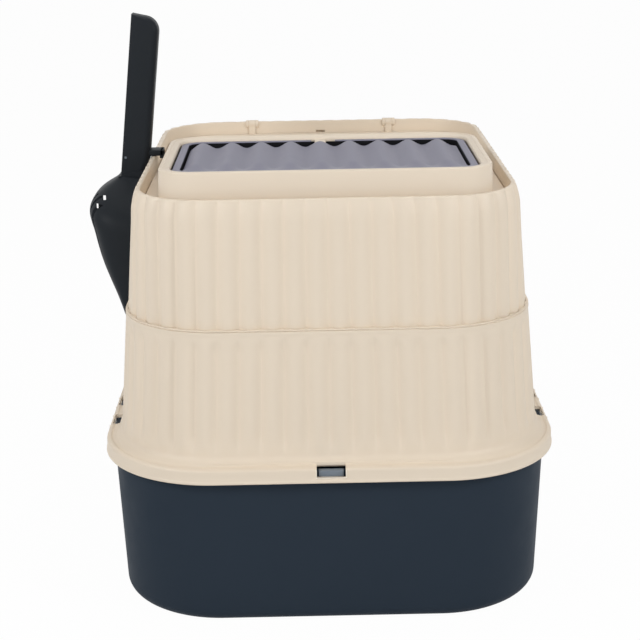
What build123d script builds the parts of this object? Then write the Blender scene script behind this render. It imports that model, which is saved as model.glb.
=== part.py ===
from build123d import *
import math
import os

# Foldable litter box. Millimetres, +Z up. The origin is the middle of the tray's underside.
# The photographed side faces -Y and the doorway faces +Y. A half width is measured along X,
# and every outline of tray and hood is longer along Y by the same length_gain on each side.
length_gain = 40.0

# Litter tray
tray_draft = 6.3
tray_foot_radius = 97.0
tray_rim_half_width = 193.3
tray_rim_radius = 101.0
tray_height = 144.0
tray_wall = 2.5
tray_foot_fillet = 11.0
tray_lip_reach = 1.6
tray_lip_thickness = 3.0

# Lower hood: skirt, flange and the ribbed wall up to the seam
skirt_gap = 2.9
skirt_radius = 102.0
skirt_drop = 10.0
skirt_wall = 2.2
skirt_draft = 1.0
ridge_fillet = 1.6
flange_thickness = 2.6
flange_rise = 3.6
flange_width = 14.0
hood_base_radius = 93.0
lower_hood_height = 118.5
lower_hood_draft = 9.2
seam_radius = 85.0
hood_wall = 1.6
seam_band = 4.5
seam_band_thickness = 0.4

# Ribs run round both hoods as shallow convex flutes, one above the other
flute_count = 76
flute_depth = 1.5

# Upper hood, from its tucked-in foot to the lip
nest_gap = 0.35
nest_overlap = 6.0
upper_hood_height = 107.5
upper_hood_draft = 7.6
lip_radius = 62.0
shoulder_height = 15.0
shoulder_inset = 4.6
shoulder_middle_rise = 10.5
shoulder_middle_inset = 2.5
lip_width = 4.0
deck_sink = 13.0
ledge_thickness = 2.4
ledge_width = 9.0
latch_pocket_width = 9.4
latch_pocket_height = 2.2
latch_pocket_depth = 2.4
latch_pocket_rise = 0.7

# Lid: sunken deck and raised collar
deck_thickness = 3.0
deck_gap = 0.8
collar_side_inset = 21.0
collar_near_inset = 5.0
collar_length = 180.0
collar_rise = 34.2
collar_radius = 30.0
collar_side_rim = 10.6
collar_end_rim = 13.4
collar_bevel = 2.6
window_radius = 18.0
collar_wall = 2.6
collar_draft = 1.4
collar_edge_fillet = 1.0
collar_rim_flat = 4.2
collar_rim_thickness = 3.4

# Lid hinge: one knuckle between two ears, twice, in the far lip
hinge_spread = 73.0
knuckle_length = 6.6
knuckle_radius = 5.0
ear_length = 3.0
hinge_side_gap = 0.35
hinge_pin_radius = 1.6
pin_clearance = 0.08
hinge_axis_drop = 3.0

# Skylight: flat frame with a sunken moat, and the corrugated field inside it
skylight_gap = 0.7
skylight_side_gap = 2.0
skylight_thickness = 2.0
skylight_sink = 0.3
skylight_strip = 6.4
skylight_near_strip = 8.2
skylight_depth = 9.0
moat_width = 2.0
moat_wall = 1.4
wave_count = 9
wave_height = 5.0
wave_sink = 0.9
field_radius = 15.0
finger_slot = 9.2
skylight_pin_radius = 1.2
skylight_pin_reach = 5.0
skylight_barrel_inset = 12.0
skylight_axis_inset = 4.2
skylight_barrel_radius = 2.2
skylight_barrel_length = 9.0
skylight_notch_reach = 5.8
skylight_notch_gap = 1.0
snap_tab_width = 11.0
snap_tab_thickness = 1.8
snap_tab_gap = 0.5

# Doorway and entry flap in the far wall
door_half_width = 92.0
door_sill_rise = 20.0
door_head_drop = 40.0
door_radius = 18.0
door_bead = 4.0
door_bead_height = 1.4
door_step = 0.6
flap_gap = 3.5
flap_thickness = 2.4
flap_wall_gap = 2.4
flap_axis_drop = 9.0
flap_barrel_radius = 3.6
flap_barrel_length = 14.0
flap_barrel_inset = 4.0
flap_pin_radius = 2.0
flap_lug_thickness = 5.0
flap_lug_reach = 4.5

# Rim catches: grey clips on the tray's lip, seen in slots of the flange
catch_width = 21.0
catch_thickness = 2.0
catch_height = 10.0
catch_leg = 3.4
catch_top_rise = 1.9
catch_slot_width = 24.4
catch_slot_depth = 7.4
catch_slot_reach = 10.0
side_catch_near = 108.0
side_catch_far = 58.0

# Scoop, hung on the left lip. Its outlines are drawn flat in a leaning frame that starts
# at the lip's shoulder: the first value is outward from the hood, the second is upward.
scoop_middle_y = 12.0
scoop_gap = 1.5
scoop_lean = 5.6
scoop_joint_drop = 20.8
handle_width = 24.0
handle_depth = 26.0
handle_rise = 131.4
handle_top_fall = 2.0
handle_wall = 3.0
handle_hollow_depth = 14.0
handle_top_radius = 11.0
handle_hole_radius = 1.4
handle_seat_drop = 2.0
hook_width = 18.0
hook_thickness = 7.6
hook_clearance = 0.5
hook_notch_gap = 3.0
scoop_notch_reach = 40.0
hook_tip_drop = 7.0
hook_tip_thickness = 3.4
bowl_width = 112.0
bowl_neck_width = 30.0
bowl_shoulder_drop = 30.0
bowl_length = 131.0
bowl_depth = 56.5
bowl_deep_drop = 36.0
bowl_back_radius = 19.0
bowl_tip_depth = 12.5
bowl_rim_top_offset = 4.5
bowl_rim_tip_offset = 8.8
bowl_corner_radius = 22.0
bowl_wall = 2.4
sieve_slot_width = 4.0
sieve_slot_pitch = 9.6
sieve_slot_count = 9
sieve_margin_top = 17.0
sieve_margin_tip = 8.0

# Levels and places that follow from the sizes above
tray_foot_half_width = tray_rim_half_width - tray_draft
skirt_half_width = tray_rim_half_width + tray_lip_reach + skirt_gap + skirt_wall
hood_base_half_width = skirt_half_width - flange_width
seam_half_width = hood_base_half_width - lower_hood_draft
hood_base_z = tray_height
flange_ridge_z = hood_base_z + flange_thickness
wall_foot_z = flange_ridge_z + flange_rise
seam_z = hood_base_z + lower_hood_height
upper_foot_z = seam_z - nest_overlap
lip_z = seam_z + upper_hood_height
deck_top_z = lip_z - deck_sink
deck_z = deck_top_z - deck_thickness
collar_top_z = deck_top_z + collar_rise
nest_half_width = seam_half_width - hood_wall - nest_gap
nest_radius = seam_radius - hood_wall - nest_gap
shoulder_z = lip_z - shoulder_height
shoulder_half_width = nest_half_width - upper_hood_draft
lip_half_width = shoulder_half_width - shoulder_inset
lip_half_length = lip_half_width + length_gain
deck_half_width = lip_half_width - lip_width - deck_gap
deck_radius = lip_radius - lip_width - deck_gap
collar_half_width = lip_half_width - collar_side_inset
collar_near_y = -(deck_half_width + length_gain - collar_near_inset)
collar_far_y = collar_near_y + collar_length
window_half_width = collar_half_width - collar_side_rim
window_near_y = collar_near_y + collar_end_rim
window_far_y = collar_far_y - collar_end_rim
hinge_y = lip_half_length - lip_width / 2
hinge_z = lip_z - hinge_axis_drop
door_sill_z = hood_base_z + door_sill_rise
door_head_z = lip_z - door_head_drop
flap_axis_z = door_head_z - flap_axis_drop
flange_tuck = flute_depth + hood_wall / 3
flange_top_size = (hood_base_half_width - flange_tuck, hood_base_radius - flange_tuck)
flap_barrel_end = door_half_width - flap_gap - flap_barrel_inset
flap_pin_end = door_half_width + door_bead + flap_lug_thickness
window_edge_z = collar_top_z - collar_bevel
panel_z = window_edge_z - skylight_sink - skylight_thickness / 2
panel_top_z = panel_z + skylight_thickness / 2
panel_foot_z = panel_top_z - skylight_depth
panel_half_width = window_half_width - skylight_side_gap
panel_near_y = window_near_y + skylight_gap
panel_far_y = window_far_y - skylight_gap
moat_half_width = panel_half_width - skylight_strip
moat_near_y = panel_near_y + skylight_near_strip
moat_far_y = panel_far_y - skylight_strip
moat_radius = window_radius - skylight_strip
field_half_width = moat_half_width - moat_width
field_far_y = moat_far_y - finger_slot
wave_pitch = 2 * field_half_width / wave_count
wave_z = panel_z - wave_sink
skylight_axis_y = window_near_y + skylight_axis_inset
skylight_barrel_end = window_half_width - skylight_barrel_inset
skylight_pin_start = skylight_barrel_end - skylight_barrel_length
skylight_pin_end = window_half_width + skylight_pin_reach
hook_tip_x = -(lip_half_width - lip_width - hook_tip_thickness - hook_clearance)
hook_z = lip_z + hook_clearance
scoop_x = -(lip_half_width + scoop_gap)
bowl_foot_drop = scoop_joint_drop + bowl_length


def outline_point(level, share, inset=0.0):
    """Point at a share of the way round a rounded rectangle, from the middle of the -Y side."""
    z, half_x, radius = level
    half_y = half_x + length_gain
    straight_x = half_x - radius
    straight_y = half_y - radius
    quarter = math.pi * radius / 2
    around = 4 * (straight_x + straight_y + quarter)
    way = (share % 1.0) * around
    sides = [
        (straight_x, -straight_y, straight_x, -90),
        (straight_x, straight_y, 2 * straight_y, 0),
        (-straight_x, straight_y, 2 * straight_x, 90),
        (-straight_x, -straight_y, 2 * straight_y, 180),
        (0.0, -straight_y, straight_x, 270),
    ]
    reach = radius - inset
    for end_x, end_y, run, heading in sides:
        out = math.radians(heading)
        if way <= run:
            left = run - way
            x = end_x + reach * math.cos(out) + left * math.sin(out)
            y = end_y + reach * math.sin(out) - left * math.cos(out)
            return Vector(x, y, z)
        way -= run
        if way <= quarter:
            turn = out + way / radius
            return Vector(end_x + reach * math.cos(turn), end_y + reach * math.sin(turn), z)
        way -= quarter


def fluted_face(level, inset=0.0):
    """Section of the ribbed wall: one shallow arc for each flute."""
    arcs = []
    for flute in range(flute_count):
        valley = outline_point(level, flute / flute_count, inset + flute_depth)
        crest = outline_point(level, (flute + 0.5) / flute_count, inset)
        next_valley = outline_point(level, (flute + 1) / flute_count, inset + flute_depth)
        arcs.append(ThreePointArc(valley, crest, next_valley))
    return make_face(Wire(arcs))


def smooth_face(level, inset=0.0):
    """Plain rounded rectangle at a level."""
    z, half_x, radius = level
    return Pos(0, 0, z) * RectangleRounded(
        2 * (half_x - inset), 2 * (half_x + length_gain - inset), radius - inset
    )


def fluted_solid(levels, inset=0.0):
    return loft([fluted_face(level, inset) for level in levels], ruled=True)


def smooth_solid(levels, inset=0.0):
    return loft([smooth_face(level, inset) for level in levels], ruled=True)


def between(low, high, z):
    """Level at height z on the straight line between two levels."""
    share = (z - low[0]) / (high[0] - low[0])
    return (z, low[1] + share * (high[1] - low[1]), low[2] + share * (high[2] - low[2]))


def block(low, high):
    """Box from its lowest corner to its highest corner."""
    size = [high[i] - low[i] for i in range(3)]
    return Pos(*low) * Box(*size, align=(Align.MIN, Align.MIN, Align.MIN))


def bar_x(x, y, z, length, radius):
    """Round bar along X, centred at a point."""
    return Pos(x, y, z) * Rot(0, 90, 0) * Cylinder(radius, length)


tray_foot = (0.0, tray_foot_half_width, tray_foot_radius)
tray_rim = (tray_height, tray_rim_half_width, tray_rim_radius)
wall_foot = (wall_foot_z, hood_base_half_width, hood_base_radius)
seam_level = (seam_z, seam_half_width, seam_radius)
wall_base = between(wall_foot, seam_level, hood_base_z)
nest_foot = (upper_foot_z, nest_half_width, nest_radius)
nest_seam = (seam_z, nest_half_width, nest_radius)
lip_level = (lip_z, lip_half_width, lip_radius)
shoulder_level = (shoulder_z, shoulder_half_width, lip_radius + shoulder_inset)
shoulder_middle = (
    shoulder_z + shoulder_middle_rise,
    shoulder_half_width - shoulder_middle_inset,
    lip_radius + shoulder_inset - shoulder_middle_inset,
)
flap_wall = between(nest_seam, shoulder_level, flap_axis_z)
flap_y = flap_wall[1] + length_gain - hood_wall - flute_depth - flap_wall_gap - flap_thickness / 2


def catch_places():
    """Name, middle and outward direction of each catch."""
    end_y = skirt_half_width + length_gain
    side_x = skirt_half_width
    return [
        ("rear", 0.0, -end_y, -90),
        ("front", 0.0, end_y, 90),
        ("left_rear", -side_x, -side_catch_near, 180),
        ("left_front", -side_x, -side_catch_far, 180),
        ("right_rear", side_x, -side_catch_near, 0),
        ("right_front", side_x, -side_catch_far, 0),
    ]


def smooth_block(half_x, near_y, far_y, radius, z):
    """Rounded rectangle between two Y values, at height z."""
    outline = RectangleRounded(2 * half_x, far_y - near_y, radius)
    return Pos(0, (near_y + far_y) / 2, z) * outline


def litter_tray():
    body = smooth_solid([tray_foot, tray_rim])
    body = fillet(body.edges().group_by(Axis.Z)[0], tray_foot_fillet)
    lip_foot = (
        tray_height - tray_lip_thickness,
        tray_rim_half_width + tray_lip_reach,
        tray_rim_radius + tray_lip_reach,
    )
    body += extrude(smooth_face(lip_foot), tray_lip_thickness)
    inner_foot = (tray_wall, tray_foot_half_width, tray_foot_radius)
    inner_rim = (tray_height, tray_rim_half_width, tray_rim_radius)
    hollow = smooth_solid([inner_foot, inner_rim], tray_wall)
    hollow = fillet(hollow.edges().group_by(Axis.Z)[0], tray_foot_fillet - tray_wall)
    return body - hollow


def rim_catch(x, y, heading):
    """Clip on the tray's lip: a plate outside the lip's edge and a short leg on top of it."""
    lip_edge = tray_rim_half_width + tray_lip_reach - skirt_half_width
    half = catch_width / 2
    top = tray_height + catch_top_rise
    clip = block((lip_edge, -half, top - catch_height), (lip_edge + catch_thickness, half, top))
    clip += block((lip_edge - catch_leg, -half, tray_height), (lip_edge, half, top))
    return Pos(x, y, 0) * Rot(0, 0, heading) * clip


def catch_slot(x, y, heading):
    """Slot through the ridge between flange and skirt."""
    cut = block(
        (-catch_slot_reach, -catch_slot_width / 2, flange_ridge_z - catch_slot_depth),
        (skirt_wall, catch_slot_width / 2, wall_foot_z + flange_rise),
    )
    return Pos(x, y, 0) * Rot(0, 0, heading) * cut


def door_prism(grow):
    """Doorway's outline, grown all round, drawn along Y through the far wall."""
    outline = RectangleRounded(
        2 * (door_half_width + grow),
        door_head_z - door_sill_z + 2 * grow,
        door_radius + grow,
    )
    middle_z = (door_head_z + door_sill_z) / 2
    depth = 2 * (skirt_half_width + length_gain - lip_half_length + lip_width)
    prism = extrude(Plane.XZ * outline, depth / 2, both=True)
    return Pos(0, skirt_half_width + length_gain, middle_z) * prism


def lower_hood():
    wall = fluted_solid([wall_base, seam_level])
    band_foot = between(wall_foot, seam_level, seam_z - seam_band)
    band = smooth_solid([band_foot, seam_level], -seam_band_thickness)
    skirt_foot = (hood_base_z - skirt_drop, skirt_half_width, skirt_radius)
    ridge = (flange_ridge_z, skirt_half_width - skirt_draft, skirt_radius - skirt_draft)
    flange_inner = smooth_solid([ridge, (wall_foot_z, *flange_top_size)])
    flange = smooth_solid([skirt_foot, ridge]) + flange_inner
    ridge_edges = flange.edges().filter_by(lambda edge: abs(edge.center().Z - flange_ridge_z) < 0.01)
    flange = fillet(ridge_edges, ridge_fillet)
    frame_grow = door_bead + door_step
    bead = door_prism(frame_grow + door_bead) & smooth_solid([wall_base, seam_level], -door_bead_height)
    body = flange + wall + band + bead
    skirt_top = (hood_base_z, skirt_half_width - skirt_draft, skirt_radius - skirt_draft)
    body -= smooth_solid([skirt_foot, skirt_top], skirt_wall)
    body -= fluted_solid([wall_base, seam_level], hood_wall)
    body -= door_prism(frame_grow)
    for name, x, y, heading in catch_places():
        body -= catch_slot(x, y, heading)
    return body


def hinge_places():
    return [("left", -hinge_spread), ("right", hinge_spread)]


def flap_lug(side):
    """Block on the inside of the far wall that holds one of the flap's pins."""
    near_x = door_half_width + door_bead
    xs = sorted([side * near_x, side * (near_x + flap_lug_thickness)])
    return block(
        (xs[0], flap_y - flap_lug_reach, flap_axis_z - flap_lug_reach),
        (xs[1], lip_half_length + length_gain, flap_axis_z + flap_lug_reach),
    )


def upper_hood():
    shell = [nest_foot, nest_seam, shoulder_level, shoulder_middle, lip_level]
    outside = fluted_solid(shell)
    under_ledge = deck_z - ledge_thickness
    ceiling = between(nest_seam, shoulder_level, under_ledge)
    hollow = fluted_solid([nest_foot, nest_seam, ceiling], hood_wall)
    bead_solid = smooth_solid([nest_foot, nest_seam, ceiling], -door_bead_height)
    bead = door_prism(door_bead) & bead_solid
    deck_well = (deck_z, lip_half_width - lip_width, lip_radius - lip_width)
    ledge_inset = lip_width + ledge_width
    ledge_hole = (under_ledge, lip_half_width - ledge_inset, lip_radius - ledge_inset)
    body = outside + bead - hollow
    body -= extrude(smooth_face(deck_well), lip_z - deck_z)
    body -= extrude(smooth_face(ledge_hole), ledge_thickness)
    body -= door_prism(0.0)
    pocket_z = deck_top_z + latch_pocket_rise
    pocket_y = lip_half_length - lip_width
    body -= block(
        (-latch_pocket_width / 2, pocket_y - deck_gap, pocket_z),
        (latch_pocket_width / 2, pocket_y + latch_pocket_depth, pocket_z + latch_pocket_height),
    )
    for side in (-1, 1):
        body += flap_lug(side) & outside
    pin_hole = flap_pin_radius + pin_clearance
    body -= bar_x(0, flap_y, flap_axis_z, 2 * flap_pin_end, pin_hole)
    knuckle_half = knuckle_length / 2
    ear_middle = knuckle_half + hinge_side_gap + ear_length / 2
    for name, x in hinge_places():
        for side in (-1, 1):
            body += bar_x(x + side * ear_middle, hinge_y, hinge_z, ear_length, knuckle_radius)
        notch_half = knuckle_half + hinge_side_gap
        notch_radius = knuckle_radius + hinge_side_gap
        body -= block(
            (x - notch_half, hinge_y - notch_radius, hinge_z - notch_radius),
            (x + notch_half, hinge_y + 2 * notch_radius, lip_z + notch_radius),
        )
        pin_length = knuckle_length + 2 * hinge_side_gap + 2 * ear_length
        body -= bar_x(x, hinge_y, hinge_z, pin_length, hinge_pin_radius)
    return body


def lid_hinge_pin(x):
    length = knuckle_length + 2 * hinge_side_gap + 2 * ear_length
    return bar_x(x, hinge_y, hinge_z, length, hinge_pin_radius)


def top_lid():
    body = extrude(smooth_face((deck_z, deck_half_width, deck_radius)), deck_thickness)
    foot = smooth_block(
        collar_half_width, collar_near_y, collar_far_y, collar_radius, deck_z
    )
    top = smooth_block(
        collar_half_width - collar_draft,
        collar_near_y + collar_draft,
        collar_far_y - collar_draft,
        collar_radius - collar_draft,
        collar_top_z,
    )
    collar = loft([foot, top], ruled=True)
    collar = fillet(collar.edges().group_by(Axis.Z)[-1], collar_edge_fillet)
    body += collar
    under_rim_z = window_edge_z - collar_rim_thickness
    under_foot = smooth_block(
        collar_half_width - collar_wall,
        collar_near_y + collar_wall,
        collar_far_y - collar_wall,
        collar_radius - collar_wall,
        deck_z,
    )
    under_top = smooth_block(
        collar_half_width - collar_wall - collar_draft,
        collar_near_y + collar_wall + collar_draft,
        collar_far_y - collar_wall - collar_draft,
        collar_radius - collar_wall - collar_draft,
        under_rim_z,
    )
    body -= loft([under_foot, under_top], ruled=True)
    window = smooth_block(window_half_width, window_near_y, window_far_y, window_radius, under_rim_z)
    body -= extrude(window, collar_top_z - under_rim_z)
    side_grow = collar_side_rim - collar_draft - collar_rim_flat
    end_grow = collar_end_rim - collar_draft - collar_rim_flat
    bevel_foot = smooth_block(
        window_half_width, window_near_y, window_far_y, window_radius, window_edge_z
    )
    bevel_top = smooth_block(
        window_half_width + side_grow,
        window_near_y - end_grow,
        window_far_y + end_grow,
        window_radius + side_grow,
        collar_top_z,
    )
    body -= loft([bevel_foot, bevel_top], ruled=True)
    body += block(
        (-snap_tab_width / 2, field_far_y + snap_tab_gap, window_edge_z - snap_tab_thickness),
        (snap_tab_width / 2, window_far_y + collar_rim_flat, window_edge_z),
    )
    pin_hole = skylight_pin_radius + pin_clearance
    body -= bar_x(0, skylight_axis_y, panel_z, 2 * skylight_pin_end, pin_hole)
    notch_half = handle_width / 2 + hook_notch_gap
    body -= block(
        (-lip_half_width, scoop_middle_y - notch_half - scoop_notch_reach, deck_z),
        (hook_tip_x + hook_notch_gap, scoop_middle_y + notch_half, deck_top_z),
    )
    for name, x in hinge_places():
        half = knuckle_length / 2
        arm_near_y = hinge_y - knuckle_radius - lip_width
        arm_far_y = deck_half_width + length_gain
        body += block((x - half, arm_near_y, deck_z), (x + half, arm_far_y, hinge_z))
        body += bar_x(x, hinge_y, hinge_z, knuckle_length, knuckle_radius)
        body -= bar_x(x, hinge_y, hinge_z, knuckle_length, hinge_pin_radius + pin_clearance)
    return body


def wave_block(sink, near_y, far_y, foot_z):
    """Block whose top is waved across X, with troughs at both sides of the field."""
    height = wave_height / 2
    quarter = wave_pitch / 4
    start = -(field_half_width + quarter)
    arcs = []
    for index in range(2 * wave_count + 1):
        left = start + 2 * quarter * index
        middle = height if index % 2 else -height
        arcs.append(
            ThreePointArc((left, 0), (left + quarter, middle), (left + 2 * quarter, 0))
        )
    top_z = wave_z + skylight_thickness / 2 - sink
    drop = foot_z - top_z
    sides = Polyline((start, 0), (start, drop), (-start, drop), (-start, 0))
    profile = Plane.XZ * make_face(Wire(arcs + list(sides.edges())))
    return Pos(0, near_y, top_z) * extrude(profile, far_y - near_y, dir=(0, 1, 0))


def upright(half_x, near_y, far_y, radius, foot_z, top_z):
    """Upright prism over a rounded rectangle."""
    return extrude(smooth_block(half_x, near_y, far_y, radius, foot_z), top_z - foot_z)


def skylight_field(wall, sink, near_y, foot_z):
    """Corrugated field, drawn in by a wall at its sides and far edge."""
    outline = upright(
        field_half_width - wall,
        near_y - field_radius,
        field_far_y - wall,
        field_radius - wall,
        foot_z,
        panel_z + wave_height,
    )
    return outline & wave_block(sink, near_y, field_far_y, foot_z)


def skylight_panel():
    plate_foot_z = panel_top_z - skylight_thickness
    body = upright(
        panel_half_width, panel_near_y, panel_far_y, window_radius, plate_foot_z, panel_top_z
    )
    body += upright(
        moat_half_width + moat_wall,
        moat_near_y - moat_wall,
        moat_far_y + moat_wall,
        moat_radius + moat_wall,
        panel_foot_z,
        plate_foot_z,
    )
    body -= upright(
        moat_half_width,
        moat_near_y,
        moat_far_y,
        moat_radius,
        panel_foot_z + moat_wall,
        panel_top_z,
    )
    body += skylight_field(0.0, 0.0, moat_near_y - moat_wall, panel_foot_z)
    body -= skylight_field(moat_wall, skylight_thickness, moat_near_y, panel_foot_z)
    body -= block(
        (-snap_tab_width, moat_far_y, panel_foot_z),
        (snap_tab_width, panel_far_y, panel_top_z),
    )
    for side in (-1, 1):
        notch_x = skylight_barrel_end + skylight_notch_gap
        xs = sorted([side * notch_x, side * window_half_width])
        body -= block(
            (xs[0], panel_near_y, panel_foot_z),
            (xs[1], skylight_axis_y + skylight_notch_reach, panel_top_z),
        )
        middle = side * (skylight_barrel_end - skylight_barrel_length / 2)
        body += bar_x(middle, skylight_axis_y, panel_z, skylight_barrel_length, skylight_barrel_radius)
        body -= skylight_pin(side)
    return body


def skylight_pin(side):
    length = skylight_pin_end - skylight_pin_start
    middle = side * (skylight_pin_start + length / 2)
    return bar_x(middle, skylight_axis_y, panel_z, length, skylight_pin_radius)


def entry_flap():
    outline = RectangleRounded(
        2 * (door_half_width - flap_gap),
        door_head_z - door_sill_z - 2 * flap_gap,
        door_radius - flap_gap,
    )
    panel = extrude(Plane.XZ * outline, flap_thickness / 2, both=True)
    body = Pos(0, flap_y, (door_head_z + door_sill_z) / 2) * panel
    for side in (-1, 1):
        middle = side * (flap_barrel_end - flap_barrel_length / 2)
        body += bar_x(middle, flap_y, flap_axis_z, flap_barrel_length, flap_barrel_radius)
        body -= flap_pin_bar(side)
    return body


def flap_pin_bar(side):
    start = flap_barrel_end - flap_barrel_length / 2
    length = flap_pin_end - start
    return bar_x(side * (start + length / 2), flap_y, flap_axis_z, length, flap_pin_radius)


def scoop_frame(z_dir, x_dir):
    return Plane(origin=(scoop_x, scoop_middle_y, lip_z), x_dir=x_dir, z_dir=z_dir)


scoop_tilt = math.radians(scoop_lean)
scoop_outward = (-math.cos(scoop_tilt), 0, math.sin(scoop_tilt))
side_frame = scoop_frame((0, 1, 0), scoop_outward)
plan_frame = scoop_frame(scoop_outward, (0, -1, 0))


def rounded_polygon(points):
    """Closed outline. A point with a third value has its corner rounded to that radius."""
    outline = make_face(Polyline(*[point[:2] for point in points], close=True))
    for point in points:
        if len(point) == 3:
            corner = outline.vertices().sort_by_distance((point[0], point[1], 0))[0]
            outline = fillet(corner, point[2])
    return outline


def side_solid(outline, width):
    return extrude(side_frame * outline, width / 2, both=True)


def scoop_handle():
    """Deep handle, hollow on the side away from the hood, with its hook over the lip."""
    profile = rounded_polygon(
        [
            (bowl_rim_top_offset, -scoop_joint_drop),
            (handle_depth, -scoop_joint_drop),
            (handle_depth, handle_rise),
            (0, handle_rise - handle_top_fall, handle_top_radius),
            (0, -handle_seat_drop),
            (bowl_rim_top_offset, -handle_seat_drop - bowl_rim_top_offset),
        ]
    )
    hollow_start = handle_depth - handle_hollow_depth
    hollow_foot = hook_thickness + handle_wall
    hollow = rounded_polygon(
        [
            (hollow_start, hollow_foot),
            (handle_depth + handle_wall, hollow_foot),
            (handle_depth + handle_wall, handle_rise - handle_top_radius),
            (hollow_start, handle_rise - 2 * handle_top_radius),
        ]
    )
    body = side_solid(profile, handle_width)
    body -= side_solid(hollow, handle_width - 2 * handle_wall)
    near_y = scoop_middle_y - hook_width / 2
    far_y = scoop_middle_y + hook_width / 2
    hook_top = hook_z + hook_thickness
    body += block((scoop_x - handle_depth / 2, near_y, hook_z), (hook_tip_x, far_y, hook_top))
    body += block(
        (hook_tip_x - hook_tip_thickness, near_y, lip_z - hook_tip_drop),
        (hook_tip_x, far_y, hook_top),
    )
    hole = Pos(handle_depth - handle_wall, 0, 0) * Cylinder(handle_hole_radius, 2 * handle_width)
    return body - side_frame.location * hole


def bowl_plan(inset):
    """Front outline of the bowl, seen square to the hood's wall, drawn inside its own wall."""
    neck = bowl_neck_width / 2 - inset
    half = bowl_width / 2 - inset
    top = -scoop_joint_drop - inset
    foot = -bowl_foot_drop + inset
    shoulder = top - bowl_shoulder_drop
    radius = bowl_corner_radius - inset
    return rounded_polygon(
        [
            (-neck, top),
            (neck, top),
            (half, shoulder, radius),
            (half, foot, radius),
            (-half, foot, radius),
            (-half, shoulder, radius),
        ]
    )


def bowl_side(inset):
    """Side outline of the bowl: deepest under the shoulder and shallow at the tip."""
    top = -scoop_joint_drop - inset
    foot = -bowl_foot_drop + inset
    open_top = bowl_rim_top_offset - inset
    open_foot = bowl_rim_tip_offset - inset
    return rounded_polygon(
        [
            (open_top, top),
            (handle_depth - inset, top),
            (bowl_depth - inset, top - bowl_deep_drop + inset, bowl_back_radius - inset),
            (bowl_tip_depth - inset, foot),
            (open_foot, foot),
        ]
    )


def bowl_form(inset):
    reach = 2 * bowl_depth
    return side_solid(bowl_side(inset), bowl_width) & extrude(
        plan_frame * bowl_plan(inset), reach, both=True
    )


def scoop_bowl():
    """Sieve bowl, open towards the hood, with slots along its back."""
    body = bowl_form(0.0) - bowl_form(bowl_wall)
    slot_top = -scoop_joint_drop - sieve_margin_top
    slot_foot = -bowl_foot_drop + sieve_margin_tip
    slot = Box(2 * bowl_depth, slot_top - slot_foot, sieve_slot_width)
    first = -(sieve_slot_count - 1) * sieve_slot_pitch / 2
    start = bowl_depth + bowl_rim_tip_offset + bowl_wall
    for index in range(sieve_slot_count):
        across = first + index * sieve_slot_pitch
        place = Pos(start, (slot_top + slot_foot) / 2, across)
        body -= side_frame.location * (place * slot)
    return body


parts = {
    "litter_tray": litter_tray(),
    "lower_hood": lower_hood(),
    "upper_hood": upper_hood(),
    "top_lid": top_lid(),
    "skylight_panel": skylight_panel(),
    "entry_flap": entry_flap(),
    "scoop_handle": scoop_handle(),
    "scoop_bowl": scoop_bowl(),
}
for name, x, y, heading in catch_places():
    parts["rim_catch_" + name] = rim_catch(x, y, heading)
for name, x in hinge_places():
    side = -1 if name == "left" else 1
    parts["lid_hinge_pin_" + name] = lid_hinge_pin(x)
    parts["skylight_pin_" + name] = skylight_pin(side)
    parts["entry_flap_pin_" + name] = flap_pin_bar(side)

os.makedirs("parts", exist_ok=True)
for name, solid in parts.items():
    export_step(solid, "parts/" + name + ".step")
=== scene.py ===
import math

import bmesh
import bpy
import numpy as np
from mathutils import Matrix, Vector, geometry


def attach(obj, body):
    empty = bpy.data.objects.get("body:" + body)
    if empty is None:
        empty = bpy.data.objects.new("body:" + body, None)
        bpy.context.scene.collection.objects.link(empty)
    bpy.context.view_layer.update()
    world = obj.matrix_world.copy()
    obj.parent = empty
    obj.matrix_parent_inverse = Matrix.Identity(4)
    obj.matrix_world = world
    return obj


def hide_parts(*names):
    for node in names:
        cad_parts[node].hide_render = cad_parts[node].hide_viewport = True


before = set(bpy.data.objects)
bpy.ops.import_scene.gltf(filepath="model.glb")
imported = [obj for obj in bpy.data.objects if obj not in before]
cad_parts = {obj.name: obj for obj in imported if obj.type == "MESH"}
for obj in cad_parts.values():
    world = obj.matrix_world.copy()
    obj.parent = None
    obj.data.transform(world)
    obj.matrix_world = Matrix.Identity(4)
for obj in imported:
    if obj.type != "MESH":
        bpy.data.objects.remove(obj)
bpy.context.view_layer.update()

# Foldable litter box. Sizes are in millimetres with +Z up, and turned to metres when a mesh is made.
# A half width is measured along X. Tray and hoods are longer along Y by LENGTH_GAIN at each end.
MM = 0.001
LENGTH_GAIN = 40.0
PLAIN = np.arange(480) / 480

# Levels
TRAY_TOP = 144.0
SEAM_Z = TRAY_TOP + 118.5
LIP_Z = SEAM_Z + 107.5
DECK_TOP = LIP_Z - 13.0
DECK_Z = DECK_TOP - 3.0
COLLAR_TOP = DECK_TOP + 34.2
PANEL_TOP = COLLAR_TOP - 2.9

# Ribs round both hoods
FLUTES = 76
FLUTE_DEPTH = 3.0
FLUTE_SHARPNESS = 10
FLUTE_STEPS = np.array([0.0, 0.015, 0.035, 0.06, 0.1, 0.16, 0.24, 0.33, 0.42,
                        0.5, 0.58, 0.67, 0.76, 0.84, 0.9, 0.94, 0.965, 0.985])
FINE = ((np.arange(FLUTES)[:, None] + FLUTE_STEPS) / FLUTES).ravel()

# Tray outlines as (z, half width, corner radius)
TRAY_FOOT = (0.0, 187.0, 92.0)
TRAY_RIM = (TRAY_TOP, 193.3, 101.0)
TRAY_WALL = 2.5
TRAY_FILLET = 11.0

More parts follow.
